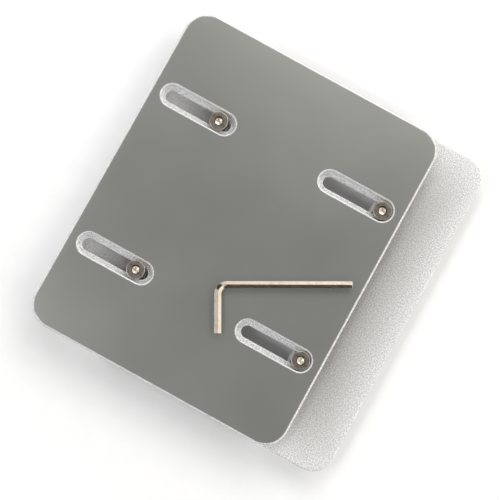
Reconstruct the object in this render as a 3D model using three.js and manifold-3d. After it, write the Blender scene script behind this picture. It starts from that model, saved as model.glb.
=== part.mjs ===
// Movement holder: a lapped aluminium base plate, two jaws that slide under it, the four screws
// that clamp them through counterbored slots, soft grips in the jaws, and the hex key.
// Millimetres, +Z up. The holder lies with its jaws down and its lapped base face up, the way it
// is turned over to set the jaws. X is the sliding direction, Y runs along the jaws.
import * as THREE from 'three';
import { mergeVertices } from 'three/addons/utils/BufferGeometryUtils.js';
import Module from 'manifold-3d';

const wasm = await Module();
wasm.setup();

// ---- Driving dimensions ----------------------------------------------------------------------

const PLATE_WIDTH = 140;
const PLATE_LENGTH = 175;
const PLATE_THICKNESS = 8;
const PLATE_CORNER = 12;
const PLATE_EDGE_BREAK = 1;

const JAW_THICKNESS = 10;
const JAW_INNER_REACH = 5.7;
const JAW_OUTER_REACH = 37.2;
const JAW_OUTER_CORNER = 11;
const JAW_INNER_CORNER = 2;
const JAW_EDGE_BREAK = 0.8;
const JAW_INNER_BREAK = 1.3;
const JAW_PLATE_GAP = 0.1;

// The clamp screws ride in four slots: a pair on each side, one above and one below the middle.
const SLOT_ROW = 42;
const SLOT_SHANK_RADIUS = 3.15;
const SLOT_SHANK_FROM = 29.7;
const SLOT_SHANK_TO = 59.4;
const SLOT_SHANK_BREAK = 0.5;
const SLOT_HEAD_RADIUS = 5.4;
const SLOT_HEAD_FROM = 29.6;
const SLOT_HEAD_TO = 58.9;
const SLOT_HEAD_DEPTH = 4.2;
const SLOT_RIM_BREAK = 0.85;

// M6 screws with small low heads and a 3.5 mm hex socket.
const SCREW_RADIUS = 3;
const SCREW_HEAD_RADIUS = 4.6;
const SCREW_HEAD_HEIGHT = 4;
const SCREW_HEAD_BREAK = 0.45;
const SCREW_HEAD_GAP = 0.1;
const SCREW_SHANK_LENGTH = 12;
const SCREW_TIP_BREAK = 0.8;
const SCREW_SOCKET_FLATS = 3.6;
const SCREW_SOCKET_DEPTH = 2.4;
const LEFT_SCREW_X = -32.8;
const RIGHT_SCREW_X = 59.2;

const INSERT_RADIUS = 4;
const INSERT_BORE = 3.1;
const INSERT_LENGTH = 8.5;
const INSERT_SEAT_GAP = 0.05;

// The grip lies in a pocket in the jaw's working face, set a little below it.
const GRIP_HALF_LENGTH = 34;
const GRIP_WIDTH = 21;
const GRIP_THICKNESS = 5;
const GRIP_RECESS = 0.2;
const GRIP_POCKET_GAP = 0.15;
const GRIP_CORNER = 4;
const NOTCH_HALF_ANGLE = 67.5;
const NOTCH_HALF_LENGTH = 24;
const LEDGE_WIDTH = 2.5;
const LEDGE_DEPTH = 2.5;
const GRIP_SCREW_ROW = 27.5;
const GRIP_SCREW_REACH = 7;

// M3 countersunk screws.
const GRIP_SCREW_RADIUS = 1.5;
const GRIP_SCREW_HEAD_RADIUS = 2.8;
const GRIP_SCREW_HEAD_SINK = 0.5;
const GRIP_SCREW_LENGTH = 8;
const GRIP_SCREW_SOCKET_FLATS = 2;
const GRIP_SCREW_SOCKET_DEPTH = 1.1;
const GRIP_HOLE_CLEARANCE = 0.1;

// 3.5 mm hex key, lying on the lapped face with an edge of the bar upwards. Its arms are measured
// over their whole length, and its bend's radius on the bar's centreline.
const KEY_FLATS = 3.5;
const KEY_LONG_ARM = 67.4;
const KEY_SHORT_ARM = 25.6;
const KEY_BEND_RADIUS = 4.5;
const KEY_CORNER_X = 6;
const KEY_CORNER_Y = -29.2;
const KEY_TURN = 28.8;
const KEY_LIFT = 0.05;

const ROUND_SEGMENTS = 48;
const CORNER_SEGMENTS = 10;
const CUT_OVERRUN = 1;

// ---- Derived levels --------------------------------------------------------------------------

const PLATE_BOTTOM = JAW_THICKNESS + JAW_PLATE_GAP;
const PLATE_TOP = PLATE_BOTTOM + PLATE_THICKNESS;
const SLOT_LEDGE = PLATE_TOP - SLOT_HEAD_DEPTH;
const SCREW_SEAT = SLOT_LEDGE + SCREW_HEAD_GAP;
const SCREW_TIP = SCREW_SEAT - SCREW_SHANK_LENGTH;
const INSERT_BOTTOM = JAW_THICKNESS - INSERT_LENGTH;
const NOTCH_DEPTH = NOTCH_HALF_LENGTH / Math.tan(THREE.MathUtils.degToRad(NOTCH_HALF_ANGLE));

// ---- Materials -------------------------------------------------------------------------------

function material(color, roughness, metalness) {
  return new THREE.MeshStandardMaterial({ color, roughness, metalness });
}

const LAPPED_ALUMINIUM = material('#a19f98', 0.35, 1);
const BLASTED_ALUMINIUM = material('#c9cacb', 0.65, 1);
const NICKEL_STEEL = material('#a99f93', 0.3, 1);
const INSERT_STEEL = material('#b5b2ab', 0.35, 1);
const GRIP_PLASTIC = material('#2b2c2e', 0.6, 0);
const KEY_STEEL = material('#b3a897', 0.25, 1);

// ---- Solids ----------------------------------------------------------------------------------

function solid(geometry) {
  const bare = geometry.clone();
  bare.deleteAttribute('normal');
  bare.deleteAttribute('uv');
  const merged = mergeVertices(bare);
  return new wasm.Manifold(new wasm.Mesh({
    numProp: 3,
    vertProperties: merged.attributes.position.array,
    triVerts: Uint32Array.from(merged.index.array),
  }));
}

function geometryOf(body) {
  const mesh = body.getMesh();
  const geometry = new THREE.BufferGeometry();
  geometry.setAttribute('position', new THREE.BufferAttribute(mesh.vertProperties, 3));
  geometry.setIndex(new THREE.BufferAttribute(mesh.triVerts, 1));
  return geometry;
}

// A straight-sided solid from a flat outline, between two heights.
function slab(shape, bottom, top) {
  const geometry = new THREE.ExtrudeGeometry(shape, {
    depth: top - bottom,
    bevelEnabled: false,
    curveSegments: CORNER_SEGMENTS,
  });
  return solid(geometry.translate(0, 0, bottom));
}

// The same with both faces' edges broken by a 45 degree chamfer.
function brokenSlab(shape, bottom, top, edgeBreak) {
  const geometry = new THREE.ExtrudeGeometry(shape, {
    depth: top - bottom - 2 * edgeBreak,
    bevelThickness: edgeBreak,
    bevelSize: edgeBreak,
    bevelOffset: -edgeBreak,
    bevelSegments: 1,
    curveSegments: CORNER_SEGMENTS,
  });
  return solid(geometry.translate(0, 0, bottom + edgeBreak));
}

// A turned solid about a vertical axis. The profile is a list of [radius, height].
function turned(profile, x, y, segments = ROUND_SEGMENTS) {
  const points = profile.map(([radius, height]) => new THREE.Vector2(radius, height));
  const geometry = new THREE.LatheGeometry(points, segments);
  return solid(geometry.rotateX(Math.PI / 2).translate(x, y, 0));
}

function cylinder(radius, bottom, top, x, y) {
  return turned([[0, bottom], [radius, bottom], [radius, top], [0, top]], x, y);
}

// ---- Outlines --------------------------------------------------------------------------------

// A rectangle from (left, -halfLength) to (right, halfLength), with its own corner radius at
// each end of X.
function plateOutline(left, right, halfLength, leftCorner, rightCorner) {
  const shape = new THREE.Shape();
  const quarter = Math.PI / 2;
  shape.absarc(right - rightCorner, -halfLength + rightCorner, rightCorner, -quarter, 0);
  shape.absarc(right - rightCorner, halfLength - rightCorner, rightCorner, 0, quarter);
  shape.absarc(left + leftCorner, halfLength - leftCorner, leftCorner, quarter, 2 * quarter);
  shape.absarc(left + leftCorner, -halfLength + leftCorner, leftCorner, 2 * quarter, 3 * quarter);
  shape.closePath();
  return shape;
}

function slotOutline(fromX, toX, y, radius) {
  const shape = new THREE.Shape();
  const quarter = Math.PI / 2;
  shape.absarc(toX, y, radius, -quarter, quarter);
  shape.absarc(fromX, y, radius, quarter, 3 * quarter);
  shape.closePath();
  return shape;
}

// Its corners lie along X, so its flats face Y.
function hexagonOutline(flats, x, y) {
  const cornerRadius = flats / Math.sqrt(3);
  const corners = [];
  for (let corner = 0; corner < 6; corner += 1) {
    const angle = corner * Math.PI / 3;
    corners.push(new THREE.Vector2(x + cornerRadius * Math.cos(angle), y + cornerRadius * Math.sin(angle)));
  }
  return new THREE.Shape(corners);
}

// The V that a round movement settles into, cut back from a jaw edge at edgeX towards side.
function notchOutline(edgeX, side, setBack) {
  const shape = new THREE.Shape();
  const slope = NOTCH_DEPTH / NOTCH_HALF_LENGTH;
  const halfLength = NOTCH_HALF_LENGTH + (setBack + CUT_OVERRUN) / slope;
  shape.moveTo(edgeX - side * CUT_OVERRUN, -halfLength);
  shape.lineTo(edgeX + side * (NOTCH_DEPTH + setBack), 0);
  shape.lineTo(edgeX - side * CUT_OVERRUN, halfLength);
  shape.closePath();
  return shape;
}

// ---- Base plate ------------------------------------------------------------------------------

// A slot's straight walls between two heights, and the flare that breaks its upper edge.
function flaredSlot(fromX, toX, y, radius, bottom, top, edgeBreak) {
  const outline = slotOutline(fromX, toX, y, radius);
  const flare = new THREE.ExtrudeGeometry(outline, {
    depth: CUT_OVERRUN,
    bevelThickness: edgeBreak,
    bevelSize: edgeBreak,
    bevelSegments: 1,
    curveSegments: CORNER_SEGMENTS,
  });
  return slab(outline, bottom, top + CUT_OVERRUN).add(solid(flare.translate(0, 0, top)));
}

// The shank's slot goes right through, under the wider one that the head lies in.
function clampSlot(side, y) {
  const [shankFrom, shankTo] = [side * SLOT_SHANK_FROM, side * SLOT_SHANK_TO].sort((a, b) => a - b);
  const [headFrom, headTo] = [side * SLOT_HEAD_FROM, side * SLOT_HEAD_TO].sort((a, b) => a - b);
  const under = PLATE_BOTTOM - CUT_OVERRUN;
  const shank = flaredSlot(shankFrom, shankTo, y, SLOT_SHANK_RADIUS, under, SLOT_LEDGE, SLOT_SHANK_BREAK);
  const head = flaredSlot(headFrom, headTo, y, SLOT_HEAD_RADIUS, SLOT_LEDGE, PLATE_TOP, SLOT_RIM_BREAK);
  return shank.add(head);
}

function basePlate() {
  const halfWidth = PLATE_WIDTH / 2;
  const outline = plateOutline(-halfWidth, halfWidth, PLATE_LENGTH / 2, PLATE_CORNER, PLATE_CORNER);
  let plate = brokenSlab(outline, PLATE_BOTTOM, PLATE_TOP, PLATE_EDGE_BREAK);
  for (const side of [-1, 1]) {
    for (const y of [-SLOT_ROW, SLOT_ROW]) {
      plate = plate.subtract(clampSlot(side, y));
    }
  }
  return geometryOf(plate);
}

// ---- Jaws ------------------------------------------------------------------------------------

// side is the way from the jaw's working edge towards its outer edge: -1 left, +1 right.
function jawOutline(screwX, side) {
  const inner = screwX - side * JAW_INNER_REACH;
  const outer = screwX + side * JAW_OUTER_REACH;
  const halfLength = PLATE_LENGTH / 2;
  if (side > 0) {
    return plateOutline(inner, outer, halfLength, JAW_INNER_CORNER, JAW_OUTER_CORNER);
  }
  return plateOutline(outer, inner, halfLength, JAW_OUTER_CORNER, JAW_INNER_CORNER);
}

// The grip's outline, grown by gap for the pocket that it lies in.
function gripOutline(screwX, side, gap) {
  const edge = screwX - side * JAW_INNER_REACH;
  const back = edge + side * (GRIP_WIDTH + gap);
  const halfLength = GRIP_HALF_LENGTH + gap;
  const corner = GRIP_CORNER + gap;
  const mouth = edge - side * (gap > 0 ? CUT_OVERRUN : 0);
  const mouthCorner = 0.5;
  if (side > 0) {
    return plateOutline(mouth, back, halfLength, mouthCorner, corner);
  }
  return plateOutline(back, mouth, halfLength, corner, mouthCorner);
}

// The long inner edge next to the plate is broken wider than the others.
function innerEdgeBreak(edge, side) {
  const level = JAW_THICKNESS;
  const beyond = CUT_OVERRUN;
  const corner = new THREE.Shape([
    new THREE.Vector2(edge - side * beyond, level - JAW_INNER_BREAK - beyond),
    new THREE.Vector2(edge + side * (JAW_INNER_BREAK + beyond), level + beyond),
    new THREE.Vector2(edge - side * beyond, level + beyond),
  ]);
  const length = PLATE_LENGTH + 2 * beyond;
  const geometry = new THREE.ExtrudeGeometry(corner, { depth: length, bevelEnabled: false });
  return solid(geometry.rotateX(Math.PI / 2).translate(0, length / 2, 0));
}

function jaw(screwX, side) {
  const edge = screwX - side * JAW_INNER_REACH;
  const pocketTop = GRIP_RECESS + GRIP_THICKNESS + GRIP_POCKET_GAP;
  let body = brokenSlab(jawOutline(screwX, side), 0, JAW_THICKNESS, JAW_EDGE_BREAK);
  body = body.subtract(innerEdgeBreak(edge, side));
  body = body.subtract(slab(notchOutline(edge, side, 0), -CUT_OVERRUN, JAW_THICKNESS + CUT_OVERRUN));
  const pocket = gripOutline(screwX, side, GRIP_POCKET_GAP);
  body = body.subtract(slab(pocket, -CUT_OVERRUN, pocketTop));
  for (const y of [-SLOT_ROW, SLOT_ROW]) {
    const radius = INSERT_RADIUS + INSERT_SEAT_GAP;
    const seat = INSERT_BOTTOM - INSERT_SEAT_GAP;
    body = body.subtract(cylinder(radius, seat, JAW_THICKNESS + CUT_OVERRUN, screwX, y));
  }
  for (const y of [-GRIP_SCREW_ROW, GRIP_SCREW_ROW]) {
    const x = gripScrewX(screwX, side);
    const radius = GRIP_SCREW_RADIUS + GRIP_HOLE_CLEARANCE;
    body = body.subtract(cylinder(radius, 0, JAW_THICKNESS + CUT_OVERRUN, x, y));
  }
  return geometryOf(body);
}

// ---- Grips and their screws ------------------------------------------------------------------

function gripScrewX(screwX, side) {
  return screwX + side * GRIP_SCREW_REACH;
}

// A countersink and shank hole, opening downwards at height z.
function countersink(x, y, z, clearance) {
  const headRadius = GRIP_SCREW_HEAD_RADIUS + clearance;
  const shankRadius = GRIP_SCREW_RADIUS + clearance;
  const cone = z + GRIP_SCREW_HEAD_SINK + headRadius - shankRadius;
  return turned([
    [0, z - CUT_OVERRUN],
    [headRadius, z - CUT_OVERRUN],
    [headRadius, z + GRIP_SCREW_HEAD_SINK],
    [shankRadius, cone],
    [shankRadius, z + GRIP_THICKNESS + CUT_OVERRUN],
    [0, z + GRIP_THICKNESS + CUT_OVERRUN],
  ], x, y);
}

function grip(screwX, side) {
  const edge = screwX - side * JAW_INNER_REACH;
  const bottom = GRIP_RECESS;
  const top = GRIP_RECESS + GRIP_THICKNESS;
  let body = slab(gripOutline(screwX, side, 0), bottom, top);
  body = body.subtract(slab(notchOutline(edge, side, 0), bottom - CUT_OVERRUN, top + CUT_OVERRUN));
  const ledge = notchOutline(edge, side, LEDGE_WIDTH);
  body = body.subtract(slab(ledge, bottom - CUT_OVERRUN, bottom + LEDGE_DEPTH));
  for (const y of [-GRIP_SCREW_ROW, GRIP_SCREW_ROW]) {
    body = body.subtract(countersink(gripScrewX(screwX, side), y, bottom, GRIP_HOLE_CLEARANCE));
  }
  return geometryOf(body);
}

function gripScrew(screwX, side, y) {
  const x = gripScrewX(screwX, side);
  const bottom = GRIP_RECESS + GRIP_SCREW_HEAD_SINK;
  const body = turned([
    [0, bottom],
    [GRIP_SCREW_HEAD_RADIUS, bottom],
    [GRIP_SCREW_RADIUS, bottom + GRIP_SCREW_HEAD_RADIUS - GRIP_SCREW_RADIUS],
    [GRIP_SCREW_RADIUS, bottom + GRIP_SCREW_LENGTH],
    [0, bottom + GRIP_SCREW_LENGTH],
  ], x, y, ROUND_SEGMENTS / 2);
  const socket = slab(
    hexagonOutline(GRIP_SCREW_SOCKET_FLATS, x, y),
    bottom - CUT_OVERRUN,
    bottom + GRIP_SCREW_SOCKET_DEPTH,
  );
  return geometryOf(body.subtract(socket));
}

// ---- Clamp screws and thread inserts ---------------------------------------------------------

function clampScrew(x, y) {
  const top = SCREW_SEAT + SCREW_HEAD_HEIGHT;
  const body = turned([
    [0, SCREW_TIP],
    [SCREW_RADIUS - SCREW_TIP_BREAK, SCREW_TIP],
    [SCREW_RADIUS, SCREW_TIP + SCREW_TIP_BREAK],
    [SCREW_RADIUS, SCREW_SEAT],
    [SCREW_HEAD_RADIUS, SCREW_SEAT],
    [SCREW_HEAD_RADIUS, top - SCREW_HEAD_BREAK],
    [SCREW_HEAD_RADIUS - SCREW_HEAD_BREAK, top],
    [0, top],
  ], x, y);
  const socket = slab(
    hexagonOutline(SCREW_SOCKET_FLATS, x, y),
    top - SCREW_SOCKET_DEPTH,
    top + CUT_OVERRUN,
  );
  return geometryOf(body.subtract(socket));
}

function threadInsert(x, y) {
  const sleeve = cylinder(INSERT_RADIUS, INSERT_BOTTOM, JAW_THICKNESS, x, y);
  const bore = cylinder(INSERT_BORE, INSERT_BOTTOM - CUT_OVERRUN, JAW_THICKNESS + CUT_OVERRUN, x, y);
  return geometryOf(sleeve.subtract(bore));
}

// ---- Hex key ---------------------------------------------------------------------------------

// An L in the XY plane: along the short arm, round the bend, then along the long arm.
class KeyCentreline extends THREE.Curve {
  constructor(longArm, shortArm, bendRadius) {
    super();
    this.shortStraight = shortArm - bendRadius;
    this.bendLength = bendRadius * Math.PI / 2;
    this.longStraight = longArm - bendRadius;
    this.bendRadius = bendRadius;
  }

  getPoint(t, target = new THREE.Vector3()) {
    const total = this.shortStraight + this.bendLength + this.longStraight;
    const along = t * total;
    if (along < this.shortStraight) {
      return target.set(0, -this.bendRadius - this.shortStraight + along, 0);
    }
    if (along < this.shortStraight + this.bendLength) {
      const angle = (along - this.shortStraight) / this.bendRadius;
      const x = this.bendRadius * (1 - Math.cos(angle));
      const y = this.bendRadius * (Math.sin(angle) - 1);
      return target.set(x, y, 0);
    }
    const past = along - this.shortStraight - this.bendLength;
    return target.set(this.bendRadius + past, 0, 0);
  }
}

function hexKey() {
  const halfBar = KEY_FLATS / 2;
  const longArm = KEY_LONG_ARM - halfBar;
  const shortArm = KEY_SHORT_ARM - halfBar;
  const curve = new KeyCentreline(longArm, shortArm, KEY_BEND_RADIUS);
  const section = hexagonOutline(KEY_FLATS, 0, 0);
  const geometry = new THREE.ExtrudeGeometry(section, { steps: 100, extrudePath: curve });
  return geometryOf(solid(geometry));
}

// ---- Assembly --------------------------------------------------------------------------------

const holder = new THREE.Group();

function addPiece(name, geometry, finish) {
  const piece = new THREE.Mesh(geometry, finish);
  piece.name = name;
  holder.add(piece);
  return piece;
}

addPiece('base_plate', basePlate(), LAPPED_ALUMINIUM);

const SIDES = [
  { name: 'left', side: -1, screwX: LEFT_SCREW_X },
  { name: 'right', side: 1, screwX: RIGHT_SCREW_X },
];
const ROWS = [
  { name: 'upper', sign: 1 },
  { name: 'lower', sign: -1 },
];

for (const { name, side, screwX } of SIDES) {
  addPiece(`${name}_jaw`, jaw(screwX, side), BLASTED_ALUMINIUM);
  addPiece(`${name}_grip`, grip(screwX, side), GRIP_PLASTIC);
  for (const row of ROWS) {
    const corner = `${row.name}_${name}`;
    const y = row.sign * SLOT_ROW;
    addPiece(`clamp_screw_${corner}`, clampScrew(screwX, y), NICKEL_STEEL);
    addPiece(`thread_insert_${corner}`, threadInsert(screwX, y), INSERT_STEEL);
    addPiece(`grip_screw_${corner}`, gripScrew(screwX, side, row.sign * GRIP_SCREW_ROW), NICKEL_STEEL);
  }
}

const key = addPiece('hex_key', hexKey(), KEY_STEEL);
key.position.set(KEY_CORNER_X, KEY_CORNER_Y, PLATE_TOP + KEY_FLATS / Math.sqrt(3) + KEY_LIFT);
key.rotation.z = THREE.MathUtils.degToRad(KEY_TURN);

// The origin is under the middle of the whole object, with the right jaw drawn out.
const rightEnd = RIGHT_SCREW_X + JAW_OUTER_REACH;
const leftEnd = LEFT_SCREW_X - JAW_OUTER_REACH;
holder.position.x = -(rightEnd + leftEnd) / 2;

export default holder;
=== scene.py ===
"""The looks of a watchmaker's movement holder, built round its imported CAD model.

The holder lies jaws down, with its lapped base face up and its hex key on it. Metres, +Z up. X is
the way the jaws slide and Y runs along them. Finer meshes take the CAD nodes' places. Only the thread
inserts, which are shut inside the jaws, keep their CAD shape.
"""

import math

import bmesh
import bpy
from mathutils import Matrix, Vector


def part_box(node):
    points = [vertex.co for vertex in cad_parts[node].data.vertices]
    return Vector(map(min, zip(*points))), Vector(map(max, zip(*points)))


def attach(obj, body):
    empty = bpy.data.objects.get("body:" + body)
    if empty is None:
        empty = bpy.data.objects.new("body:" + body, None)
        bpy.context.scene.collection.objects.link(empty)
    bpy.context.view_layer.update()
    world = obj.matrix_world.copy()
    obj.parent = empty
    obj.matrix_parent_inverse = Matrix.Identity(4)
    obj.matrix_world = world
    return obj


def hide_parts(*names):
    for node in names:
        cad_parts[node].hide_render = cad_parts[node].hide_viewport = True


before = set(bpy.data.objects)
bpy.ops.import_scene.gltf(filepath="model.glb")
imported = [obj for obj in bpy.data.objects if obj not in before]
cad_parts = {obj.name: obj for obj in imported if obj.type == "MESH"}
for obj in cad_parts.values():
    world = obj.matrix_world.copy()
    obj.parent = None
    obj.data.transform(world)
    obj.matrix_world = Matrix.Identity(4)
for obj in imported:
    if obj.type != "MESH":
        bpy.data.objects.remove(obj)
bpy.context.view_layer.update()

# ---- Driving dimensions ----------------------------------------------------------------------

MM = 0.001

PLATE_CORNER = 12 * MM
PLATE_BREAK = 1 * MM

# Each slot is a stadium. FROM and TO are its two centres' distances from the plate's middle.
SLOT_HEAD_RADIUS = 5.4 * MM
SLOT_HEAD_FROM = 29.6 * MM
SLOT_HEAD_TO = 58.9 * MM
SLOT_HEAD_DEPTH = 4.2 * MM
SLOT_HEAD_FILLET = 0.25 * MM
SLOT_RIM_BREAK = 0.85 * MM
SLOT_SHANK_RADIUS = 3.15 * MM
SLOT_SHANK_FROM = 29.7 * MM
SLOT_SHANK_TO = 59.4 * MM
SLOT_SHANK_BREAK = 0.5 * MM
SLOT_FOOT_BREAK = 0.25 * MM

JAW_OUTER_CORNER = 11 * MM
JAW_INNER_CORNER = 2 * MM
JAW_BREAK = 0.8 * MM
# The upper edge that faces the other jaw is broken wider than the rest.
JAW_INNER_BREAK = 1.3 * MM
JAW_MOUTH_CORNER = 0.4 * MM
POCKET_GAP = 0.15 * MM
INSERT_SEAT_GAP = 0.05 * MM

NOTCH_HALF_LENGTH = 24 * MM
NOTCH_HALF_ANGLE = math.radians(67.5)
NOTCH_CORNER = 0.6 * MM
LEDGE_WIDTH = 2.5 * MM
LEDGE_DEPTH = 2.5 * MM
GRIP_CORNER = 4 * MM
GRIP_BREAK = 0.35 * MM
GRIP_HOLE_CLEARANCE = 0.1 * MM

SCREW_RADIUS = 3 * MM
SCREW_ROOT_RADIUS = 2.45 * MM
SCREW_PITCH = 1 * MM
SCREW_HEAD_RADIUS = 4.6 * MM
SCREW_HEAD_HEIGHT = 4 * MM
SCREW_HEAD_BREAK = 0.2 * MM
SCREW_SEAT_BREAK = 0.15 * MM
SCREW_NECK = 0.8 * MM
SCREW_NECK_FILLET = 0.2 * MM
SCREW_THREAD_TAPER = 0.8 * MM
SCREW_SOCKET_FLATS = 3.6 * MM
SCREW_SOCKET_DEPTH = 2.4 * MM

GRIP_SCREW_RADIUS = 1.5 * MM
GRIP_SCREW_ROOT_RADIUS = 1.2 * MM
GRIP_SCREW_PITCH = 0.5 * MM
GRIP_SCREW_HEAD_RADIUS = 2.8 * MM
GRIP_SCREW_HEAD_SINK = 0.5 * MM
GRIP_SCREW_HEAD_BREAK = 0.1 * MM
# The neck and the thread start these distances past the end of the head's cone.
GRIP_SCREW_NECK = 0.3 * MM
GRIP_SCREW_THREAD_FROM = 0.4 * MM
GRIP_SCREW_THREAD_TAPER = 0.4 * MM
GRIP_SCREW_SOCKET_FLATS = 2 * MM
GRIP_SCREW_SOCKET_DEPTH = 1.1 * MM

# A hex socket's lengths, as shares of its size across flats. Only MARGIN is counted in lead-ins: the
# face is clean that far outside the socket's corners.
SOCKET_LEAD = 0.09
SOCKET_MARGIN = 1.1
SOCKET_FLOOR_RADIUS = 0.47
SOCKET_FLOOR_DROP = 0.02
SOCKET_DIMPLE_RADIUS = 0.06
SOCKET_DIMPLE_DROP = 0.16
SOCKET_POINT_DROP = 0.17

# The key's arms are measured over their whole length, and its corner from the plate's middle.
KEY_FLATS = 3.5 * MM
KEY_LONG_ARM = 67.4 * MM
KEY_SHORT_ARM = 25.6 * MM
KEY_BEND_RADIUS = 4.5 * MM
KEY_CORNER = (6 * MM, -29.2 * MM)
KEY_TURN = math.radians(28.8)
KEY_LIFT = 0.05 * MM
KEY_EDGE_RADIUS = 0.35 * MM
KEY_END_BREAK = 0.3 * MM

# How finely shapes are divided. COUNT is the points round a circle, and STEPS are counted in each
# arc, broken edge and turn of thread, along the key's arms, and round its bend and its edges.
ROUND_COUNT = 72
ARC_STEPS = 20
BREAK_STEPS = 4
THREAD_STEPS = 8
KEY_SHORT_STEPS = 8
KEY_BEND_STEPS = 32
KEY_LONG_STEPS = 16
KEY_EDGE_STEPS = 4

# A broken edge lies between a flat chamfer, 0, and a quarter round, 1.
BREAK_ROUNDNESS = 0.55
# Above 1, TOOTH_SLOPE leaves flats on a thread's crests and roots. The root narrows at the lower end
# by THREAD_END_TAPER of the thread's depth.
TOOTH_SLOPE = 1.25
THREAD_END_TAPER = 0.3
SHARP_ANGLE = math.radians(38)
# Points nearer than MERGE_DISTANCE are joined, and a point nearer a line than SAME_PLACE is on it.
MERGE_DISTANCE = 1e-7
SAME_PLACE = 1e-6

# Wear is 1 on an edge worn by rubbing and 0 on an untouched face. The same value also paints light: in
# the plate's slots and on the sockets' floors it is a painted highlight, and below 0, down to -1, it is
# painted shade.
KEY_FLAT_WEAR = 0.25
# Painted shade darkens the hex sockets' lip, lead-in and walls, and a painted highlight lightens their
# floor and dimple.
SOCKET_LIP_SHADE = -0.7
SOCKET_LEAD_SHADE = -1.0
SOCKET_WALL_SHADE = -0.9
SOCKET_FLOOR_HIGHLIGHT = 0.1
SOCKET_DIMPLE_HIGHLIGHT = 0.6

# ---- Places from the frame -------------------------------------------------------------------

# Each jaw's name and the way along X that it slides outwards.
SIDES = {"left": -1, "right": 1}
ROWS = ("upper", "lower")

plate_low, plate_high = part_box("base_plate")
plate_x = (plate_low.x + plate_high.x) / 2
plate_top = plate_high.z


def axis_of(node):
    """Where the upright axis of a round CAD node is."""
    low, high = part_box(node)
    return (low.x + high.x) / 2, (low.y + high.y) / 2


# ---- Outlines --------------------------------------------------------------------------------


def circle(x, y, radius):
    turns = [2 * math.pi * k / ROUND_COUNT for k in range(ROUND_COUNT)]
    return [(x + radius * math.cos(a), y + radius * math.sin(a)) for a in turns]


def stadium(from_x, to_x, y, radius):
    """A slot's outline, with the same number of points whatever its radius is."""
    half = [math.pi * (k / ARC_STEPS - 0.5) for k in range(ARC_STEPS + 1)]
    right = [(to_x + radius * math.cos(a), y + radius * math.sin(a)) for a in half]
    left = [(from_x - radius * math.cos(a), y - radius * math.sin(a)) for a in half]
    return right + left


def rounded(corners, steps=ARC_STEPS):
    """A closed outline through corners, each (x, y, radius), with an arc at each corner."""
    points = []
    for index, (x, y, radius) in enumerate(corners):
        here = Vector((x, y))
        back = (Vector(corners[index - 1][:2]) - here).normalized()
        ahead = (Vector(corners[(index + 1) % len(corners)][:2]) - here).normalized()
        half = back.angle(ahead) / 2
        centre = here + (back + ahead).normalized() * radius / math.sin(half)
        arm = here + back * radius / math.tan(half) - centre
        side = 1 if back.cross(ahead) < 0 else -1
        for k in range(steps + 1):
            angle = side * (math.pi - 2 * half) * k / steps
            turn = Vector((math.cos(angle), math.sin(angle)))
            points.append((
                centre.x + arm.x * turn.x - arm.y * turn.y,
                centre.y + arm.x * turn.y + arm.y * turn.x,
            ))
    return points


def inward(outline):
    """For each point of an outline that runs anticlockwise, the step that moves it in by 1."""
    steps = []
    for index, point in enumerate(outline):
        here = Vector(point)
        before = (here - Vector(outline[index - 1])).normalized()
        after = (Vector(outline[(index + 1) % len(outline)]) - here).normalized()
        first = Vector((-before.y, before.x))
        second = Vector((-after.y, after.x))
        steps.append((first + second) / (1 + first.dot(second)))
    return steps


# ---- Mesh building ---------------------------------------------------------------------------


def soft_break(size):
    """(how far in, how far down) of each step of a broken edge, from the face to the side."""
    profile = []
    for k in range(BREAK_STEPS + 1):
        t = k / BREAK_STEPS
        flat = (1 - t, t)
        arc = (1 - math.sin(t * math.pi / 2), 1 - math.cos(t * math.pi / 2))
        profile.append([
            size * (f + (a - f) * BREAK_ROUNDNESS) for f, a in zip(flat, arc)
        ])
    return profile


def new_mesh():
    """An empty mesh whose vertices carry the wear and painted light that the materials read."""
    bm = bmesh.new()
    bm.verts.layers.float.new("wear_and_painted_light")
    return bm


def ring(bm, points, z, wear_and_painted_light=0.0):
    """A loop of new vertices, with the same wear and painted light all round it."""
    layer = bm.verts.layers.float["wear_and_painted_light"]
    made = []
    for x, y in points:
        vertex = bm.verts.new((x, y, z))
        vertex[layer] = wear_and_painted_light
        made.append(vertex)
    return made


def bridge(bm, rings, finish=0):
    """Walls between each ring and the next."""
    for lower, upper in zip(rings, rings[1:]):
        for index in range(len(lower)):
            corners = (lower[index - 1], lower[index], upper[index], upper[index - 1])
            bm.faces.new(corners).material_index = finish


def cap(bm, rings, finish=0):
    """A flat face bounded by the first ring, with the other rings as holes in it."""
    edges = []
    for loop in rings:
        for index in range(len(loop)):
            pair = (loop[index - 1], loop[index])
            edges.append(bm.edges.get(pair) or bm.edges.new(pair))
    made = bmesh.ops.triangle_fill(bm, use_beauty=True, edges=edges)
    for item in made["geom"]:
        if isinstance(item, bmesh.types.BMFace):
            item.material_index = finish


def tip(bm, loop, height):
    """Closes a round end on its axis, at a height."""
    centre = sum((v.co for v in loop), Vector()) / len(loop)
    point = bm.verts.new((centre.x, centre.y, height))
    for index in range(len(loop)):
        bm.faces.new((loop[index - 1], loop[index], point))


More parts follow.
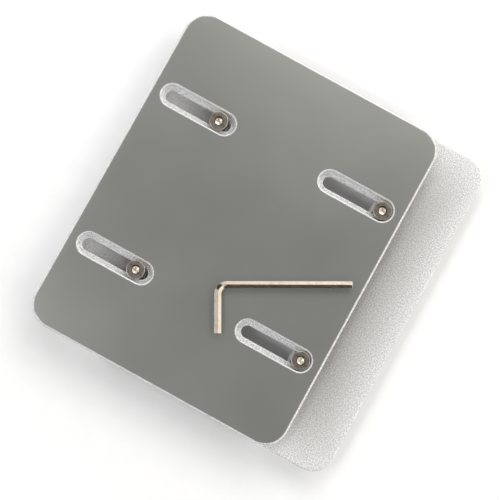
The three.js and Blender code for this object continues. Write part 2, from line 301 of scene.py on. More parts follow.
def side_rings(bm, outline, bottom, top, bottom_break, top_break, top_weight=None):
    """The rings up a straight side. top_weight scales the top's break at each point."""
    steps = inward(outline)
    weights = top_weight or [1.0] * len(outline)
    rings = []
    # Broken edges have the value 1: rub, and on the blasted finish also a painted highlight.
    if bottom_break:
        for inset, rise in soft_break(bottom_break):
            points = [(x + s.x * inset, y + s.y * inset) for (x, y), s in zip(outline, steps)]
            rings.append(ring(bm, points, bottom + rise, 1.0))
    else:
        rings.append(ring(bm, outline, bottom))
    if top_break:
        for inset, drop in reversed(soft_break(top_break)):
            points = [
                (x + s.x * inset * w, y + s.y * inset * w)
                for (x, y), s, w in zip(outline, steps, weights)
            ]
            made = ring(bm, points, top, 1.0)
            for vertex, weight in zip(made, weights):
                vertex.co.z -= drop * weight
            rings.append(made)
    else:
        rings.append(ring(bm, outline, top))
    return rings


def turned(bm, x, y, profile):
    """A round shape's rings. The profile is (radius, height, wear) from one end to the other."""
    return [ring(bm, circle(x, y, radius), z, wear_and_painted_light) for radius, z, wear_and_painted_light in profile]


def hole(bm, x, y, profile):
    """A round hole's wall, from the same kind of profile."""
    rings = turned(bm, x, y, profile)
    bridge(bm, rings)
    return rings


def close_step(bm):
    """Joins two storeys that share a height and fills the flat gap between their outlines."""
    bmesh.ops.remove_doubles(bm, verts=bm.verts, dist=MERGE_DISTANCE)
    rim = [edge for edge in bm.edges if edge.is_boundary]
    bmesh.ops.triangle_fill(bm, use_beauty=True, edges=rim)


def piece(name, bm, body, nodes, finishes, origin=(0, 0, 0)):
    """Makes the object, puts it on its body and lets it stand for its CAD nodes."""
    bmesh.ops.remove_doubles(bm, verts=bm.verts, dist=MERGE_DISTANCE)
    bmesh.ops.recalc_face_normals(bm, faces=bm.faces)
    mesh = bpy.data.meshes.new(name)
    bm.to_mesh(mesh)
    bm.free()
    for finish in finishes:
        mesh.materials.append(finish)
    mesh.shade_smooth()
    mesh.set_sharp_from_angle(angle=SHARP_ANGLE)
    made = bpy.data.objects.new(name, mesh)
    bpy.context.scene.collection.objects.link(made)
    made.location = origin
    normals = made.modifiers.new("flat faces stay flat", "WEIGHTED_NORMAL")
    normals.keep_sharp = True
    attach(made, body)
    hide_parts(*nodes)


# ---- Materials -------------------------------------------------------------------------------


class Nodes:
    """Short ways to add shader nodes to a tree."""

    def __init__(self, tree):
        self.tree = tree

    def add(self, kind, settings=None, **inputs):
        """A node, with its settings and its inputs' values or links. _ stands for a space."""
        node = self.tree.nodes.new(kind)
        for key, value in (settings or {}).items():
            setattr(node, key, value)
        for key, value in inputs.items():
            socket = node.inputs[key.replace("_", " ")]
            if isinstance(value, bpy.types.NodeSocket):
                self.tree.links.new(value, socket)
            else:
                socket.default_value = value
        return node

    def put(self, sockets, values):
        """Links each value that is a socket, and sets each that is a number or a colour."""
        for socket, value in zip(sockets, values):
            if isinstance(value, bpy.types.NodeSocket):
                self.tree.links.new(value, socket)
            elif socket.type == "RGBA":
                socket.default_value = (*value, 1.0)
            else:
                socket.default_value = value

    def span(self, value, low, high, to_low=0.0, to_high=1.0):
        """A value's stretch from low to high, spread over another one and held at its ends."""
        made = self.add(
            "ShaderNodeMapRange",
            Value=value,
            From_Min=low,
            From_Max=high,
            To_Min=to_low,
            To_Max=to_high,
        )
        return made.outputs["Result"]

    def math(self, operation, first, second):
        made = self.add("ShaderNodeMath", {"operation": operation})
        self.put(made.inputs, (first, second))
        return made.outputs["Value"]

    def dot(self, vector, direction):
        made = self.add("ShaderNodeVectorMath", {"operation": "DOT_PRODUCT"})
        self.put(made.inputs, (vector, direction))
        return made.outputs["Value"]

    def mix(self, share, first, second):
        """Two colours mixed. A Mix node has its factor, A, B and result for colours at 0, 6, 7, 2."""
        made = self.add("ShaderNodeMix", {"data_type": "RGBA"})
        self.put((made.inputs[0], made.inputs[6], made.inputs[7]), (share, first, second))
        return made.outputs[2]


class Finish(Nodes):
    """A procedural material on one Principled shader."""

    def __init__(self, name, metallic):
        self.material = bpy.data.materials.new(name)
        self.material.use_nodes = True
        super().__init__(self.material.node_tree)
        self.shader = self.tree.nodes["Principled BSDF"]
        self.shader.inputs["Metallic"].default_value = metallic
        self.place = self.add("ShaderNodeTexCoord").outputs["Object"]

    def noise(self, scale, detail=2.0, stretch=(1, 1, 1), roughness=0.5):
        """Noise from 0 to 1. Where stretch is large it is fine, and where small it is drawn out."""
        spread = self.add("ShaderNodeVectorMath", {"operation": "MULTIPLY"})
        self.put(spread.inputs, (self.place, stretch))
        made = self.add(
            "ShaderNodeTexNoise",
            Vector=spread.outputs["Vector"],
            Scale=scale,
            Detail=detail,
            Roughness=roughness,
        )
        return made.outputs["Fac"]

    def wear_and_painted_light(self):
        """The wear and painted light that the mesh's vertices carry."""
        return self.add("ShaderNodeAttribute", {"attribute_name": "wear_and_painted_light"}).outputs["Fac"]

    def colour(self, value):
        self.tree.links.new(value, self.shader.inputs["Base Color"])

    def rough(self, value):
        self.tree.links.new(value, self.shader.inputs["Roughness"])

    def bump(self, height, distance):
        made = self.add("ShaderNodeBump", Height=height, Distance=distance, Strength=1.0)
        self.tree.links.new(made.outputs["Normal"], self.shader.inputs["Normal"])


# Nearly all of a noise's values lie between these.
NOISE_SPREAD = (0.3, 0.7)

# Linear colours. A material's two tones are the ends of its grain, cloudiness or stain.
LAPPED_TONES = (0.54, 0.532, 0.486), (0.565, 0.557, 0.51)
BLASTED_TONES = (0.375, 0.367, 0.354), (0.56, 0.55, 0.533)
BLASTED_RUBBED_AND_HIGHLIGHT_TONES = (0.68, 0.685, 0.69), (1.0, 1.0, 1.0)
NICKEL_TONES = (0.53, 0.455, 0.37), (0.70, 0.62, 0.525)
# The lighter nickel is worn edges and also a painted highlight in the sockets; the brown after it is
# painted shade in the sockets.
NICKEL_RUBBED_AND_HIGHLIGHT = (0.74, 0.66, 0.57)
NICKEL_PAINTED_SHADE = (0.20, 0.115, 0.055)
INSERT_TONES = (0.55, 0.54, 0.52), (0.70, 0.69, 0.66)
KEY_TONES = (0.52, 0.47, 0.405), (0.44, 0.385, 0.315)
KEY_RUBBED = (0.70, 0.665, 0.61)
GRIP_TONES = (0.022, 0.023, 0.025), (0.034, 0.035, 0.038)
GRIP_SCUFFED = (0.12, 0.12, 0.125)
FLOOR_TONES = (0.93, 0.93, 0.93), (0.95, 0.95, 0.95)


def lapped_aluminium():
    """Fine lapped satin: faint cloudiness and fine scratches each way."""
    made = Finish("lapped_aluminium", 1.0)
    cloud = made.noise(22, detail=3)
    across = made.noise(330, detail=3, stretch=(1, 14, 1))
    along = made.noise(330, detail=3, stretch=(14, 1, 1))
    scratches = made.math("ADD", made.span(across, *NOISE_SPREAD), made.span(along, *NOISE_SPREAD))
    tone = made.math(
        "ADD", made.span(cloud, *NOISE_SPREAD, 0.0, 0.8), made.span(scratches, 0.4, 1.6, 0.0, 0.2)
    )
    made.colour(made.mix(tone, *LAPPED_TONES))
    made.rough(made.span(tone, 0.0, 1.0, 0.36, 0.38))
    made.bump(scratches, 0.0004 * MM)
    return made.material


def blasted_aluminium():
    """Bead blasted: fine craters that sparkle, with edges a little brighter from rub and a painted
    highlight, and a painted highlight all through the plate's slots.
    """
    made = Finish("blasted_aluminium", 1.0)
    grain = made.noise(2900, roughness=0.7)
    pits = made.noise(1500, roughness=0.7)
    patches = made.noise(60)
    speckle = made.math("ADD", made.span(grain, *NOISE_SPREAD), made.span(pits, *NOISE_SPREAD))
    lit = made.math("ADD", speckle, made.span(patches, *NOISE_SPREAD, -0.1, 0.1))
    base = made.mix(made.span(lit, 0.3, 1.7), *BLASTED_TONES)
    # Painted highlight: where the value is 1 the colour goes towards white, on broken edges, where it
    # also stands for rub, and all through the plate's slots.
    bright = made.mix(made.span(speckle, 0.6, 1.4), *BLASTED_RUBBED_AND_HIGHLIGHT_TONES)
    made.colour(made.mix(made.math("MULTIPLY", made.wear_and_painted_light(), 0.9), base, bright))
    made.rough(made.span(speckle, 0.3, 1.7, 0.95, 0.75))
    made.bump(speckle, 0.05 * MM)
    return made.material


def nickel_steel():
    """Turned and nickel plated: rings about the axis, lighter edges from rub, a painted highlight on
    the sockets' floors, and painted shade in brown where the value is below 0.
    """
    made = Finish("nickel_steel", 1.0)
    rings = made.add(
        "ShaderNodeTexWave",
        {"wave_type": "RINGS", "rings_direction": "Z"},
        Vector=made.place,
        Scale=900.0,
        Distortion=1.5,
        Detail=2.0,
        Detail_Scale=2.0,
    ).outputs["Fac"]
    stain = made.noise(500, detail=3)
    base = made.mix(made.span(stain, 0.35, 0.65), *NICKEL_TONES)
    # Above 0 the value lightens worn edges and paints a highlight on the sockets' floors; below 0 it
    # paints shade in brown.
    rubbed_and_highlit = made.mix(made.span(made.wear_and_painted_light(), 0, 1, 0, 0.6), base, NICKEL_RUBBED_AND_HIGHLIGHT)
    made.colour(made.mix(made.span(made.wear_and_painted_light(), 0, -1), rubbed_and_highlit, NICKEL_PAINTED_SHADE))
    made.rough(made.span(made.math("ADD", rings, stain), 0.3, 1.4, 0.22, 0.34))
    made.bump(rings, 0.002 * MM)
    return made.material


def insert_steel():
    """Plain turned steel."""
    made = Finish("insert_steel", 1.0)
    lines = made.noise(900, stretch=(0.1, 0.1, 3))
    stain = made.noise(300, detail=3)
    made.colour(made.mix(made.span(stain, *NOISE_SPREAD), *INSERT_TONES))
    made.rough(made.span(lines, *NOISE_SPREAD, 0.3, 0.42))
    made.bump(lines, 0.01 * MM)
    return made.material


def key_steel():
    """Drawn bar, nickel plated: lines along it, and rubbed edges."""
    made = Finish("key_steel", 1.0)
    lines = made.noise(1400, stretch=(0.05, 1, 1))
    stain = made.noise(350, detail=3)
    base = made.mix(made.span(stain, 0.4, 0.7), *KEY_TONES)
    made.colour(made.mix(made.span(made.wear_and_painted_light(), 0, 1, 0, 0.4), base, KEY_RUBBED))
    made.rough(made.span(lines, *NOISE_SPREAD, 0.1, 0.2))
    made.bump(lines, 0.003 * MM)
    return made.material


def grip_plastic():
    """Machined acetal: faint milling lines, edges scuffed paler."""
    made = Finish("grip_plastic", 0.0)
    lines = made.noise(500, stretch=(0.08, 1, 1))
    cloud = made.noise(150, detail=3)
    base = made.mix(made.span(cloud, *NOISE_SPREAD), *GRIP_TONES)
    scuffed = made.math("MULTIPLY", made.wear_and_painted_light(), made.span(cloud, 0.35, 0.7))
    made.colour(made.mix(made.span(scuffed, 0, 1, 0, 0.6), base, GRIP_SCUFFED))
    made.rough(made.span(lines, *NOISE_SPREAD, 0.42, 0.58))
    made.bump(lines, 0.02 * MM)
    return made.material


def floor_paper():
    """White paper, almost without gloss."""
    made = Finish("floor_paper", 0.0)
    fibre = made.noise(120, detail=4)
    made.colour(made.mix(made.span(fibre, *NOISE_SPREAD), *FLOOR_TONES))
    made.shader.inputs["Specular IOR Level"].default_value = 0.1
    return made.material


LAPPED = lapped_aluminium()
BLASTED = blasted_aluminium()
NICKEL = nickel_steel()
INSERT = insert_steel()
KEY = key_steel()
GRIP = grip_plastic()

# ---- Base plate ------------------------------------------------------------------------------


def slot_rings(bm, side, y):
    """The rings down one clamp slot: rim, counterbore, ledge, shank slot and foot."""
    ledge = plate_top - SLOT_HEAD_DEPTH
    head = (SLOT_HEAD_FROM, SLOT_HEAD_TO, SLOT_HEAD_RADIUS)
    shank = (SLOT_SHANK_FROM, SLOT_SHANK_TO, SLOT_SHANK_RADIUS)

    def level(section, extra, z, wear_and_painted_light=0.0):
        near, far, radius = section
        from_x, to_x = sorted((plate_x + side * near, plate_x + side * far))
        return ring(bm, stadium(from_x, to_x, y, radius + extra), z, wear_and_painted_light)

    # Every ring down the slot has the value 1, so its walls and ledge take the blasted finish's painted
    # highlight.
    rings = [level(head, e, plate_top - drop, 1.0) for e, drop in soft_break(SLOT_RIM_BREAK)]
    for inset, rise in reversed(soft_break(SLOT_HEAD_FILLET)):
        rings.append(level(head, -inset, ledge + rise, 1.0))
    rings += [level(shank, e, ledge - drop, 1.0) for e, drop in soft_break(SLOT_SHANK_BREAK)]
    for extra, rise in reversed(soft_break(SLOT_FOOT_BREAK)):
        rings.append(level(shank, extra, plate_low.z + rise, 1.0))
    return rings


def base_plate():
    """Lapped on both faces, and bead blasted on its edges and in its slots."""
    lapped, blasted = 0, 1
    bm = new_mesh()
    left, right, half = plate_low.x, plate_high.x, plate_high.y
    r = PLATE_CORNER
    outline = rounded([(left, -half, r), (right, -half, r), (right, half, r), (left, half, r)])
    sides = side_rings(bm, outline, plate_low.z, plate_top, PLATE_BREAK, PLATE_BREAK)
    bridge(bm, sides, blasted)
    slots = []
    for name, side in SIDES.items():
        for row in ROWS:
            _, y = axis_of(f"clamp_screw_{row}_{name}")
            slots.append(slot_rings(bm, side, y))
            bridge(bm, slots[-1], blasted)
    cap(bm, [sides[-1]] + [rings[0] for rings in slots], lapped)
    cap(bm, [sides[0]] + [rings[-1] for rings in slots], lapped)
    piece("plate", bm, "base", ["base_plate"], [LAPPED, BLASTED])


# ---- Jaws and grips --------------------------------------------------------------------------


def notch(edge, side, set_back):
    """The V's mouth corners and root, from -Y to +Y. set_back moves it away from the other jaw."""
    depth = NOTCH_HALF_LENGTH / math.tan(NOTCH_HALF_ANGLE)
    half = NOTCH_HALF_LENGTH * (1 + set_back / depth)
    return [
        (edge, -half, NOTCH_CORNER),
        (edge + side * (depth + set_back), 0, NOTCH_CORNER),
        (edge, half, NOTCH_CORNER),
    ]


def anticlockwise(corners, side):
    """Corners are listed for the right side; the left side's run the other way round."""
    return rounded(corners if side > 0 else corners[::-1])


def jaw_holes(bm, name, bottom, top):
    """The thread inserts' seats and the grip screws' holes. Returns their rims at the top."""
    seats = []
    shanks = []
    for row in ROWS:
        x, y = axis_of(f"thread_insert_{row}_{name}")
        low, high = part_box(f"thread_insert_{row}_{name}")
        radius = (high.x - low.x) / 2 + INSERT_SEAT_GAP
        seat = hole(bm, x, y, [(radius, low.z - INSERT_SEAT_GAP, 0), (radius, top, 0)])
        cap(bm, [seat[0]])
        seats.append(seat[-1])
        x, y = axis_of(f"grip_screw_{row}_{name}")
        radius = GRIP_SCREW_RADIUS + GRIP_HOLE_CLEARANCE
        shank = hole(bm, x, y, [(radius, bottom, 0), (radius, top, 0)])
        shanks.append(shank[-1])
    return seats + shanks


def jaw(name, side):
    """A plate in two storeys: the V notch above, and below it the pocket that the grip sits in."""
    low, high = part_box(f"{name}_jaw")
    grip_low, grip_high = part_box(f"{name}_grip")
    edge, outer = (low.x, high.x) if side > 0 else (high.x, low.x)
    half = high.y
    step = grip_high.z + POCKET_GAP
    mouth = grip_high.y + POCKET_GAP
    back = (grip_high.x if side > 0 else grip_low.x) + side * POCKET_GAP
    pocket_corner = GRIP_CORNER + POCKET_GAP
    outside = [
        (edge, -half, JAW_INNER_CORNER),
        (outer, -half, JAW_OUTER_CORNER),
        (outer, half, JAW_OUTER_CORNER),
        (edge, half, JAW_INNER_CORNER),
    ]
    pocket = [
        (edge, mouth, JAW_MOUTH_CORNER),
        (back, mouth, pocket_corner),
        (back, -mouth, pocket_corner),
        (edge, -mouth, JAW_MOUTH_CORNER),
    ]
    upper = anticlockwise(outside + notch(edge, side, 0)[::-1], side)
    lower = anticlockwise(outside + pocket, side)

    bm = new_mesh()
    reach = JAW_INNER_BREAK / JAW_BREAK
    weights = [reach if abs(x - edge) < SAME_PLACE else 1.0 for x, _ in upper]
    top_rings = side_rings(bm, upper, step, high.z, 0, JAW_BREAK, weights)
    foot_rings = side_rings(bm, lower, low.z, step, JAW_BREAK, 0)
    bridge(bm, top_rings)
    bridge(bm, foot_rings)
    cap(bm, [top_rings[-1]] + jaw_holes(bm, name, step, high.z))
    cap(bm, [foot_rings[0]])
    close_step(bm)
    piece(f"{name}_jaw_body", bm, f"{name}_jaw", [f"{name}_jaw"], [BLASTED])


def grip(name, side):
    """A pad in two storeys: the V notch above, and below it a wider one that leaves the ledge."""
    low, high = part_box(f"{name}_grip")
    edge, back = (low.x, high.x) if side > 0 else (high.x, low.x)
    half = high.y
    step = low.z + LEDGE_DEPTH
    outside = [
        (edge, -half, JAW_MOUTH_CORNER),
        (back, -half, GRIP_CORNER),
        (back, half, GRIP_CORNER),
        (edge, half, JAW_MOUTH_CORNER),
    ]
    upper = anticlockwise(outside + notch(edge, side, 0)[::-1], side)
    lower = anticlockwise(outside + notch(edge, side, LEDGE_WIDTH)[::-1], side)

    bm = new_mesh()
    top_rings = side_rings(bm, upper, step, high.z, 0, GRIP_BREAK)
    foot_rings = side_rings(bm, lower, low.z, step, GRIP_BREAK, 0)
    bridge(bm, top_rings)
    bridge(bm, foot_rings)
    holes = []
    for row in ROWS:
        x, y = axis_of(f"grip_screw_{row}_{name}")
        wide = GRIP_SCREW_HEAD_RADIUS + GRIP_HOLE_CLEARANCE
        narrow = GRIP_SCREW_RADIUS + GRIP_HOLE_CLEARANCE
        sink = low.z + GRIP_SCREW_HEAD_SINK
        holes.append(hole(bm, x, y, [
            (wide + GRIP_HOLE_CLEARANCE, low.z, 1),
            (wide, low.z + GRIP_HOLE_CLEARANCE, 1),
            (wide, sink, 0),
            (narrow, sink + wide - narrow, 0),
            (narrow, high.z, 0),
        ]))
    cap(bm, [top_rings[-1]] + [rings[-1] for rings in holes])
    cap(bm, [foot_rings[0]] + [rings[0] for rings in holes])
    close_step(bm)
    piece(f"{name}_grip_pad", bm, f"{name}_jaw", [f"{name}_grip"], [GRIP])


# ---- Screws ----------------------------------------------------------------------------------


def hexagon(flats):
    """A hexagon about the axis, with as many points as a round ring has. Its flats face Y."""
    points = []
    for k in range(ROUND_COUNT):
        angle = 2 * math.pi * k / ROUND_COUNT
        off = (angle + math.pi / 6) % (math.pi / 3) - math.pi / 6
        radius = flats / math.sqrt(3) * math.cos(math.pi / 6) / math.cos(math.pi / 6 - abs(off))
        points.append((radius * math.cos(angle), radius * math.sin(angle)))
    return points


def thread_rings(bm, bottom, top, crest, root, pitch, taper):
    """Rings up a helical thread that fades out over taper at the bottom and a pitch at the top."""
    rings = []
    count = round((top - bottom) / pitch * THREAD_STEPS)
    for level in range(count + 1):
        z = bottom + (top - bottom) * level / count
        fade = min(1, (z - bottom) / taper, (top - z) / pitch)
        start = root
        if z <= (top + bottom) / 2:
            start -= THREAD_END_TAPER * (crest - root) * (1 - fade)
        points = []
        for k in range(ROUND_COUNT):
            turn = k / ROUND_COUNT
            phase = (z / pitch - turn) % 1
            tooth = max(0, 1 - abs(2 * phase - 1) * TOOTH_SLOPE)
            radius = start + (crest - root) * min(1, tooth * TOOTH_SLOPE) * max(0, fade)
            angle = 2 * math.pi * turn
            points.append((radius * math.cos(angle), radius * math.sin(angle)))
        rings.append(ring(bm, points, z))
    return rings


def socket_rings(bm, mouth, toward, flats, depth):
    """A hex socket's rings from its round mouth inwards. toward is -1 down, +1 up."""
    corner = flats / math.sqrt(3)
    lead = SOCKET_LEAD * flats
    floor_edge = circle(0, 0, SOCKET_FLOOR_RADIUS * flats)
    floor_depth = depth + SOCKET_FLOOR_DROP * flats
    dimple = circle(0, 0, SOCKET_DIMPLE_RADIUS * flats)
    dimple_depth = depth + SOCKET_DIMPLE_DROP * flats
    # Painted shade on the lip, lead-in and walls, and a painted highlight on the floor and dimple.
    return [
        ring(bm, circle(0, 0, corner + SOCKET_MARGIN * lead), mouth),
        ring(bm, circle(0, 0, corner + lead), mouth, SOCKET_LIP_SHADE),
        ring(bm, circle(0, 0, corner), mouth + toward * lead, SOCKET_LEAD_SHADE),
        ring(bm, hexagon(flats), mouth + toward * 2 * lead, SOCKET_LEAD_SHADE),
        ring(bm, hexagon(flats), mouth + toward * depth, SOCKET_WALL_SHADE),
        ring(bm, floor_edge, mouth + toward * floor_depth, SOCKET_FLOOR_HIGHLIGHT),
        ring(bm, dimple, mouth + toward * dimple_depth, SOCKET_DIMPLE_HIGHLIGHT),
    ]


def clamp_screw(name, row):
    """A low-head screw, head up. Its heights are measured from its tip."""
    node = f"clamp_screw_{row}_{name}"
    low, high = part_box(node)
    x, y = axis_of(node)
    length = high.z - low.z
    seat = length - SCREW_HEAD_HEIGHT
    bm = new_mesh()
    rings = thread_rings(
        bm,
        0,
        seat - SCREW_NECK,
        SCREW_RADIUS,
        SCREW_ROOT_RADIUS,
        SCREW_PITCH,
        SCREW_THREAD_TAPER,
    )
    head = [
        (SCREW_ROOT_RADIUS, seat - SCREW_NECK_FILLET, 0),
        (SCREW_ROOT_RADIUS + SCREW_NECK_FILLET, seat, 0),
    ]
    for inset, rise in soft_break(SCREW_SEAT_BREAK):
        head.append((SCREW_HEAD_RADIUS - inset, seat + rise, 0))
    for inset, drop in reversed(soft_break(SCREW_HEAD_BREAK)):
        head.append((SCREW_HEAD_RADIUS - inset, length - drop, 0))
    head.append((SCREW_HEAD_RADIUS - 2 * SCREW_HEAD_BREAK, length, 0))
    rings += turned(bm, 0, 0, head)
    rings += socket_rings(bm, length, -1, SCREW_SOCKET_FLATS, SCREW_SOCKET_DEPTH)
    bridge(bm, rings)
    tip(bm, rings[0], 0)
    tip(bm, rings[-1], length - SCREW_SOCKET_DEPTH - SOCKET_POINT_DROP * SCREW_SOCKET_FLATS)
    origin = (x, y, low.z)
    piece(f"screw_{row}_{name}", bm, node, [node], [NICKEL], origin)


def grip_screw(name, row):
    """A countersunk screw, head down. Its heights are measured from its head's face."""
    node = f"grip_screw_{row}_{name}"
    low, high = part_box(node)
    x, y = axis_of(node)
    length = high.z - low.z
    neck = GRIP_SCREW_HEAD_RADIUS - GRIP_SCREW_RADIUS
    bm = new_mesh()
    rings = socket_rings(bm, 0, 1, GRIP_SCREW_SOCKET_FLATS, GRIP_SCREW_SOCKET_DEPTH)[::-1]
    rings += turned(bm, 0, 0, [
        (GRIP_SCREW_HEAD_RADIUS - GRIP_SCREW_HEAD_BREAK, 0, 1),
        (GRIP_SCREW_HEAD_RADIUS, GRIP_SCREW_HEAD_BREAK, 1),
        (GRIP_SCREW_RADIUS, neck, 0),
        (GRIP_SCREW_ROOT_RADIUS, neck + GRIP_SCREW_NECK, 0),
    ])
    rings += thread_rings(
        bm,
        neck + GRIP_SCREW_THREAD_FROM,
        length,
        GRIP_SCREW_RADIUS,
        GRIP_SCREW_ROOT_RADIUS,
        GRIP_SCREW_PITCH,
        GRIP_SCREW_THREAD_TAPER,
    )
    bridge(bm, rings)
    tip(bm, rings[0], GRIP_SCREW_SOCKET_DEPTH + SOCKET_POINT_DROP * GRIP_SCREW_SOCKET_FLATS)
    tip(bm, rings[-1], length)
    body = f"{name}_jaw"
    origin = (x, y, low.z)
    piece(f"pad_screw_{row}_{name}", bm, body, [node], [NICKEL], origin)


# ---- Hex key ---------------------------------------------------------------------------------


def key_line():
    """(place, direction) along the key's centreline, from the short arm's end to the long one's.

    The short arm runs up Y and the long one out along X, and their lines would meet at (0, 0).
    """
    bend = KEY_BEND_RADIUS
    stations = []
    short = KEY_SHORT_ARM - KEY_FLATS / 2 - bend
    for k in range(KEY_SHORT_STEPS + 1):
        place = Vector((0, -bend - short * (1 - k / KEY_SHORT_STEPS)))
        stations.append((place, Vector((0, 1))))
    for k in range(1, KEY_BEND_STEPS):
        angle = k / KEY_BEND_STEPS * math.pi / 2
        place = Vector((bend * (1 - math.cos(angle)), bend * (math.sin(angle) - 1)))
        stations.append((place, Vector((math.sin(angle), math.cos(angle)))))
    long = KEY_LONG_ARM - KEY_FLATS / 2 - bend
    for k in range(KEY_LONG_STEPS + 1):
        place = Vector((bend + long * k / KEY_LONG_STEPS, 0))
        stations.append((place, Vector((1, 0))))
    return stations


def hex_key():
    """A hexagonal bar swept along its line, resting on the plate with an edge upwards."""
    corner = KEY_FLATS / math.sqrt(3)
    turns = [k * math.pi / 3 for k in range(6)]
    section = rounded(
        [(corner * math.sin(a), corner * -math.cos(a), KEY_EDGE_RADIUS) for a in turns],
        KEY_EDGE_STEPS,
    )
    bm = new_mesh()
    layer = bm.verts.layers.float["wear_and_painted_light"]

    def station(place, direction, inset, along):
        across = Vector((direction.y, -direction.x))
        scale = 1 - inset / (KEY_FLATS / 2)
        made = []
        for index, (u, v) in enumerate(section):
            spot = place + direction * along + across * u * scale
            vertex = bm.verts.new((spot.x, spot.y, v * scale))
            on_edge = index % (KEY_EDGE_STEPS + 1) == KEY_EDGE_STEPS // 2
            vertex[layer] = 1.0 if inset or on_edge else KEY_FLAT_WEAR
            made.append(vertex)
        return made

    stations = key_line()
    ends = soft_break(KEY_END_BREAK)
    rings = [station(*stations[0], inset, rise) for inset, rise in ends]
    rings += [station(place, direction, 0, 0) for place, direction in stations[1:-1]]
    rings += [station(*stations[-1], inset, -drop) for inset, drop in reversed(ends)]
    bridge(bm, rings)
    cap(bm, [rings[0]])
    cap(bm, [rings[-1]])
    height = plate_top + corner + KEY_LIFT
    origin = (plate_x + KEY_CORNER[0], KEY_CORNER[1], height)
    bmesh.ops.rotate(bm, verts=bm.verts, matrix=Matrix.Rotation(KEY_TURN, 3, "Z"))
    piece("key", bm, "hex_key", ["hex_key"], [KEY], origin)


# ---- Assembly --------------------------------------------------------------------------------


def dress_insert(name, row):
    """An insert keeps its CAD mesh and only takes the procedural steel."""
    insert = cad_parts[f"thread_insert_{row}_{name}"]
    insert.data.materials.clear()
    insert.data.materials.append(INSERT)


base_plate()
for name, side in SIDES.items():
    jaw(name, side)
    grip(name, side)
    for row in ROWS:
        clamp_screw(name, row)
        grip_screw(name, row)
        dress_insert(name, row)
hex_key()

# ---- Studio ----------------------------------------------------------------------------------

# The camera's lens and sensor are in real millimetres, and its places in metres like the rest.
CAMERA_LENS = 108.8
CAMERA_SENSOR = 36
CAMERA_NEAR = 0.01
CAMERA_PLACE = (16.0 * MM, -72.2 * MM, 754.0 * MM)
CAMERA_AIM = (-1.7 * MM, -6.6 * MM, plate_top)
CAMERA_ROLL = math.radians(28.82)
FLOOR_HALF_SIZE = 3.0

# Directions as the camera sees them.
UP = Vector((0, 0, 1))
FRONT = Vector((math.sin(CAMERA_ROLL), -math.cos(CAMERA_ROLL), 0))
LEFT = Vector((-math.cos(CAMERA_ROLL), -math.sin(CAMERA_ROLL), 0))

# The tent's light in linear colour. EDGES say between which shares of a direction it changes.
TENT_ROOF = (0.08, 0.094, 0.108)
TENT_ROOF_EDGES = (0.80, 0.87)
TENT_SHOULDER_LEFT = (1.4, 1.45, 1.52)
TENT_SHOULDER_RIGHT = (2.0, 1.97, 1.91)
TENT_SHOULDER_EDGES = (0.54, 0.61)
TENT_WALL_LEFT = (1.05, 1.03, 1.0)
TENT_WALL_RIGHT = (1.75, 1.67, 1.58)
TENT_SIDE_EDGES = (-0.6, 0.6)
TENT_POST_TOWARD = (LEFT - FRONT).normalized() * 0.866 + UP * 0.5
TENT_POST_EDGES = (0.95, 0.975)
TENT_OPEN_FRONT = (0.10, 0.07, 0.045)
TENT_FRONT_EDGES = (0.66, 0.80)

# Each softbox: the way to it, and its distance, width, height and power in watts.
LEFT_BOX = ((LEFT * 0.48 + FRONT * 0.13 + UP * 0.867).normalized(), 1.2, 0.16, 0.16, 1.3)
BACK_BOX = ((LEFT * -0.30 - FRONT * 0.66 + UP * 0.68).normalized(), 0.42, 0.25, 0.12, 0.35)


def camera():
    """Almost straight above the holder, turned about its view as the photograph's camera was."""
    data = bpy.data.cameras.new("camera")
    data.lens = CAMERA_LENS
    data.sensor_width = CAMERA_SENSOR
    data.clip_start = CAMERA_NEAR
    made = bpy.data.objects.new("camera", data)
    bpy.context.scene.collection.objects.link(made)
    forward = (Vector(CAMERA_AIM) - Vector(CAMERA_PLACE)).normalized()
    upward = Vector((-math.sin(CAMERA_ROLL), math.cos(CAMERA_ROLL), 0))
    right = forward.cross(upward).normalized()
    turn = Matrix((right, right.cross(forward), -forward)).transposed()
    made.matrix_world = Matrix.Translation(CAMERA_PLACE) @ turn.to_4x4()
    bpy.context.scene.camera = made


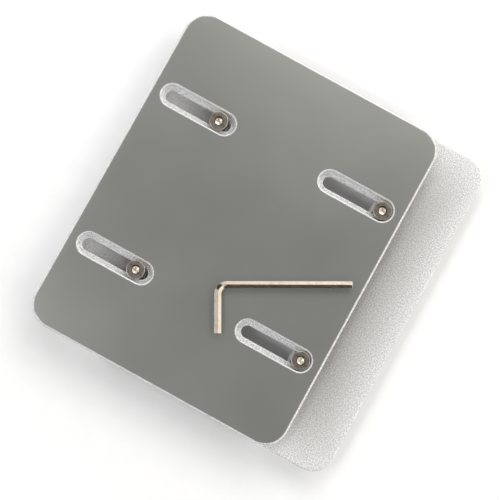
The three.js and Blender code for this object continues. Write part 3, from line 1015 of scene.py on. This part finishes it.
def floor():
    """A wide pale sheet that the holder lies on."""
    bm = new_mesh()
    size = FLOOR_HALF_SIZE
    cap(bm, [ring(bm, [(-size, -size), (size, -size), (size, size), (-size, size)], 0)])
    mesh = bpy.data.meshes.new("floor")
    bm.to_mesh(mesh)
    bm.free()
    mesh.materials.append(floor_paper())
    made = bpy.data.objects.new("floor", mesh)
    bpy.context.scene.collection.objects.link(made)


def tent():
    """A white light tent: dim overhead, dark at its open front and at a post at its back left."""
    world = bpy.data.worlds.new("tent")
    bpy.context.scene.world = world
    world.use_nodes = True
    made = Nodes(world.node_tree)
    toward = made.add("ShaderNodeTexCoord").outputs["Generated"]
    height = made.dot(toward, UP)
    leftward = made.span(made.dot(toward, LEFT), *TENT_SIDE_EDGES)
    walls = made.mix(leftward, TENT_WALL_RIGHT, TENT_WALL_LEFT)
    shoulder = made.mix(leftward, TENT_SHOULDER_RIGHT, TENT_SHOULDER_LEFT)
    sides = made.mix(made.span(height, *TENT_SHOULDER_EDGES), walls, shoulder)
    opened = made.span(made.dot(toward, FRONT), *TENT_FRONT_EDGES)
    post = made.span(made.dot(toward, TENT_POST_TOWARD), *TENT_POST_EDGES)
    sides = made.mix(made.math("MAXIMUM", opened, post), sides, TENT_OPEN_FRONT)
    light = made.mix(made.span(height, *TENT_ROOF_EDGES), sides, TENT_ROOF)
    made.tree.links.new(light, world.node_tree.nodes["Background"].inputs["Color"])


def softbox(name, toward, distance, width, height, power):
    """A rectangular soft light that stands off in a direction and faces the holder."""
    data = bpy.data.lights.new(name, "AREA")
    data.shape = "RECTANGLE"
    data.size = width
    data.size_y = height
    data.energy = power
    made = bpy.data.objects.new(name, data)
    bpy.context.scene.collection.objects.link(made)
    made.location = toward * distance
    made.rotation_mode = "QUATERNION"
    made.rotation_quaternion = (-toward).to_track_quat("-Z", "Y")


camera()
floor()
tent()
softbox("left_box", *LEFT_BOX)
softbox("back_box", *BACK_BOX)
bpy.context.scene.view_settings.view_transform = "Standard"
